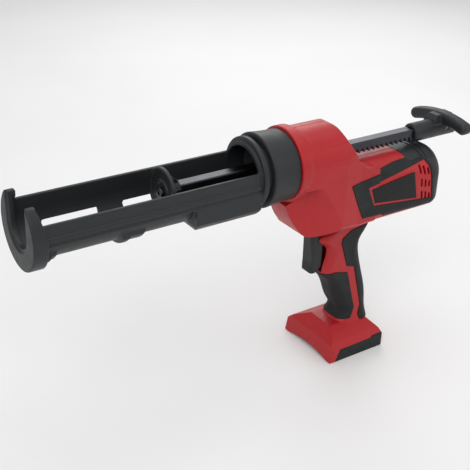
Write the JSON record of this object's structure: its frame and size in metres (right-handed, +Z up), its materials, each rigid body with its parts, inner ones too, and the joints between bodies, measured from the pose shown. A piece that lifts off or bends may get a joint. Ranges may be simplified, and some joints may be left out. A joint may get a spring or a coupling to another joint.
{
  "type": "caulking gun",
  "caption": "Cordless cartridge gun, body only: a rack-driven piston pushes a cartridge held in a swivelling half-open cradle; pistol grip, trigger, pull handle and battery foot.",
  "frame": {"origin": "middle of the overall length and width, on the plane the foot stands on", "axes": "+X from the cartridge end to the pull handle, +Z up, +Y to the side that carries the housing screws"},
  "size_m": [0.485, 0.0796, 0.2594],
  "materials": {
    "red_shell": "satin moulded plastic",
    "charcoal_plastic": "fine-textured moulded plastic",
    "black_plastic": "moulded plastic",
    "rubber_overmould": "soft matte",
    "label_film": "printed film left blank",
    "rack_steel": "dark oiled steel",
    "gear_steel": "ground",
    "bright_steel": "turned",
    "screw_steel": "black oxide",
    "die_cast": "as cast",
    "bronze": "sintered",
    "copper": "segmented",
    "magnet": "sintered ferrite",
    "board": "solder mask",
    "wire": "insulation",
    "spring_steel": "drawn wire"
  },
  "bodies": {
    "housing": {"left_shell": "red_shell", "right_shell": "red_shell", "rear_cap": "charcoal_plastic", "left_overmould": "rubber_overmould", "right_overmould": "rubber_overmould", "label_plates": "label_film", "grip_backstrap": "rubber_overmould", "grip_front_panel": "rubber_overmould", "foot_pads": "rubber_overmould", "nose_spigot": "die_cast", "rod_bushes": "bronze", "gear_case": "die_cast", "shaft_bushes": "bronze", "input_bearing": "bright_steel", "planet_case": "die_cast", "ring_gear": "gear_steel", "motor_front_plate": "die_cast", "motor_can": "gear_steel", "motor_magnets": "magnet", "motor_end_cap": "black_plastic", "motor_bearings": "bronze", "trigger_switch": "black_plastic", "trigger_spring": "spring_steel", "control_board": "board", "terminal_block": "black_plastic", "terminal_blades": "bronze", "battery_leads": "wire", "motor_leads": "wire", "housing_screws": "screw_steel", "rear_cap_screws": "screw_steel"},
    "cradle": {"cradle": "charcoal_plastic", "cradle_retaining_ring": "gear_steel"},
    "collar": {"lock_collar": "charcoal_plastic"},
    "rod": {"rack_rod": "rack_steel", "piston_disc": "charcoal_plastic", "piston_hub": "black_plastic", "piston_screw": "screw_steel", "pull_handle": "charcoal_plastic", "handle_pin": "gear_steel"},
    "output": {"output_shaft": "gear_steel", "drive_pinion": "gear_steel", "output_gear": "gear_steel"},
    "cross": {"cross_shaft": "gear_steel", "cross_pinion": "gear_steel", "bevel_gear": "gear_steel"},
    "clutch": {"bevel_pinion": "gear_steel", "clutch_hub": "gear_steel", "clutch_disc": "bronze"},
    "carrier": {"planet_carrier": "gear_steel", "planet_pins": "bright_steel"},
    "planet_1": {"planet_gear_1": "gear_steel"},
    "planet_2": {"planet_gear_2": "gear_steel"},
    "planet_3": {"planet_gear_3": "gear_steel"},
    "rotor": {"rotor_shaft": "bright_steel", "sun_gear": "gear_steel", "rotor_core": "magnet", "commutator": "copper", "cooling_fan": "black_plastic"},
    "trigger": {"trigger": "charcoal_plastic", "switch_plunger": "black_plastic"}
  },
  "joints": [
    {"name": "rod_slide", "type": "slide", "parent": "housing", "child": "rod", "axis": [1, 0, 0], "range_m": [-0.08, 0.093]},
    {"name": "cradle_swivel", "type": "hinge", "parent": "housing", "child": "cradle", "pos_m": [-0.093, 0, 0.2226], "axis": [1, 0, 0], "continuous": true},
    {"name": "collar_turn", "type": "hinge", "parent": "housing", "child": "collar", "pos_m": [0.002, 0, 0.2226], "axis": [1, 0, 0], "range_deg": [0, 60]},
    {"name": "trigger_pull", "type": "slide", "parent": "housing", "child": "trigger", "axis": [1, 0, 0], "range_m": [0, 0.006], "stiffness_N_per_m": 400, "springref_m": -0.006, "deforming": ["trigger_spring"]},
    {"name": "output_spin", "type": "hinge", "parent": "housing", "child": "output", "pos_m": [0.0575, 0, 0.20685], "axis": [0, 1, 0], "range_deg": [-400, 460]},
    {"name": "cross_spin", "type": "hinge", "parent": "housing", "child": "cross", "pos_m": [0.0575, 0, 0.1781], "axis": [0, 1, 0], "range_deg": [-1040, 900]},
    {"name": "bevel_spin", "type": "hinge", "parent": "housing", "child": "clutch", "pos_m": [0.085, 0, 0.1781], "axis": [1, 0, 0], "range_deg": [-2060, 1780]},
    {"name": "motor_spin", "type": "hinge", "parent": "housing", "child": "rotor", "pos_m": [0.147, 0, 0.1781], "axis": [1, 0, 0], "continuous": true},
    {"name": "carrier_spin", "type": "hinge", "parent": "housing", "child": "carrier", "pos_m": [0.099, 0, 0.1781], "axis": [1, 0, 0], "continuous": true},
    {"name": "planet_1_spin", "type": "hinge", "parent": "carrier", "child": "planet_1", "pos_m": [0.107, 0, 0.18935], "axis": [1, 0, 0], "continuous": true},
    {"name": "planet_2_spin", "type": "hinge", "parent": "carrier", "child": "planet_2", "pos_m": [0.107, -0.00974, 0.17247], "axis": [1, 0, 0], "continuous": true},
    {"name": "planet_3_spin", "type": "hinge", "parent": "carrier", "child": "planet_3", "pos_m": [0.107, 0.00974, 0.17247], "axis": [1, 0, 0], "continuous": true}
  ],
  "couplings": [
    {"joint": "output_spin", "follows": "rod_slide", "rad_per_m": 83.333},
    {"joint": "cross_spin", "follows": "rod_slide", "rad_per_m": -190.48},
    {"joint": "bevel_spin", "follows": "rod_slide", "rad_per_m": -380.95},
    {"joint": "carrier_spin", "follows": "motor_spin", "ratio": 0.2},
    {"joint": "planet_1_spin", "follows": "motor_spin", "ratio": -0.53333},
    {"joint": "planet_2_spin", "follows": "motor_spin", "ratio": -0.53333},
    {"joint": "planet_3_spin", "follows": "motor_spin", "ratio": -0.53333}
  ]
}
